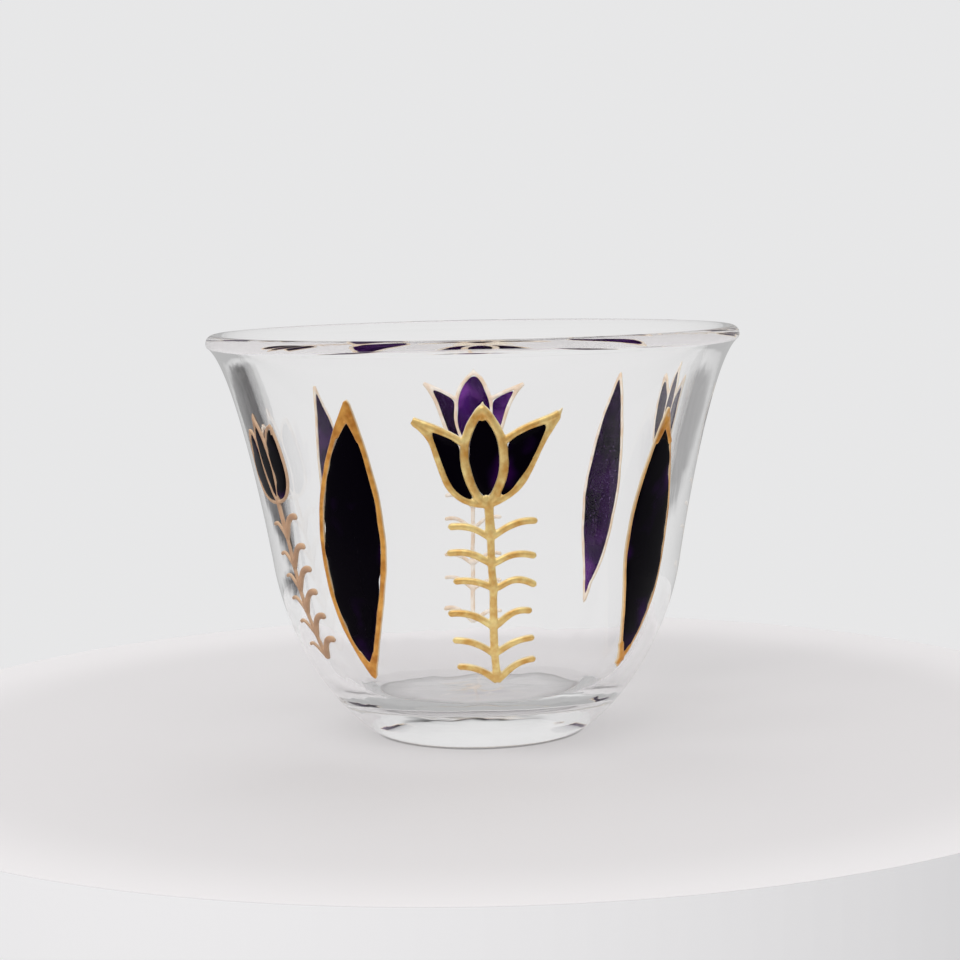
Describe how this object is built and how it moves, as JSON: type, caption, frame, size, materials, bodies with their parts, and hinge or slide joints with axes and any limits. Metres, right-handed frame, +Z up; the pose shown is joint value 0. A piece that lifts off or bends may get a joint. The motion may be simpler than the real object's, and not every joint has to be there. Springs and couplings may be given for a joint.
{
  "type": "painted glass coffee cup",
  "caption": "Small clear glass coffee cup without stem or handle, flared rim, thick flat base, painted with gold-lined purple tulips and lancet leaves.",
  "frame": {"origin": "middle of the flat underside that the cup stands on", "axes": "+Z up along the cup's axis, -Y towards the front tulip, +X to the right of it"},
  "size_m": [0.07, 0.07, 0.0533],
  "materials": {
    "clear_glass": "clear pressed glass, fire polished",
    "gold_paste": "raised metallic gold contour paste, satin",
    "purple_paint": "deep purple translucent glass paint, glossy"
  },
  "bodies": {
    "root": {"glass_cup": "clear_glass", "tulip_1_gold": "gold_paste", "tulip_1_petal_left": "purple_paint", "tulip_1_petal_centre": "purple_paint", "tulip_1_petal_right": "purple_paint", "tulip_2_gold": "gold_paste", "tulip_2_petal_left": "purple_paint", "tulip_2_petal_centre": "purple_paint", "tulip_2_petal_right": "purple_paint", "tulip_3_gold": "gold_paste", "tulip_3_petal_left": "purple_paint", "tulip_3_petal_centre": "purple_paint", "tulip_3_petal_right": "purple_paint", "tulip_4_gold": "gold_paste", "tulip_4_petal_left": "purple_paint", "tulip_4_petal_centre": "purple_paint", "tulip_4_petal_right": "purple_paint", "leaf_1_gold": "gold_paste", "leaf_1_fill": "purple_paint", "leaf_2_gold": "gold_paste", "leaf_2_fill": "purple_paint", "leaf_3_gold": "gold_paste", "leaf_3_fill": "purple_paint", "leaf_4_gold": "gold_paste", "leaf_4_fill": "purple_paint"}
  },
  "joints": []
}
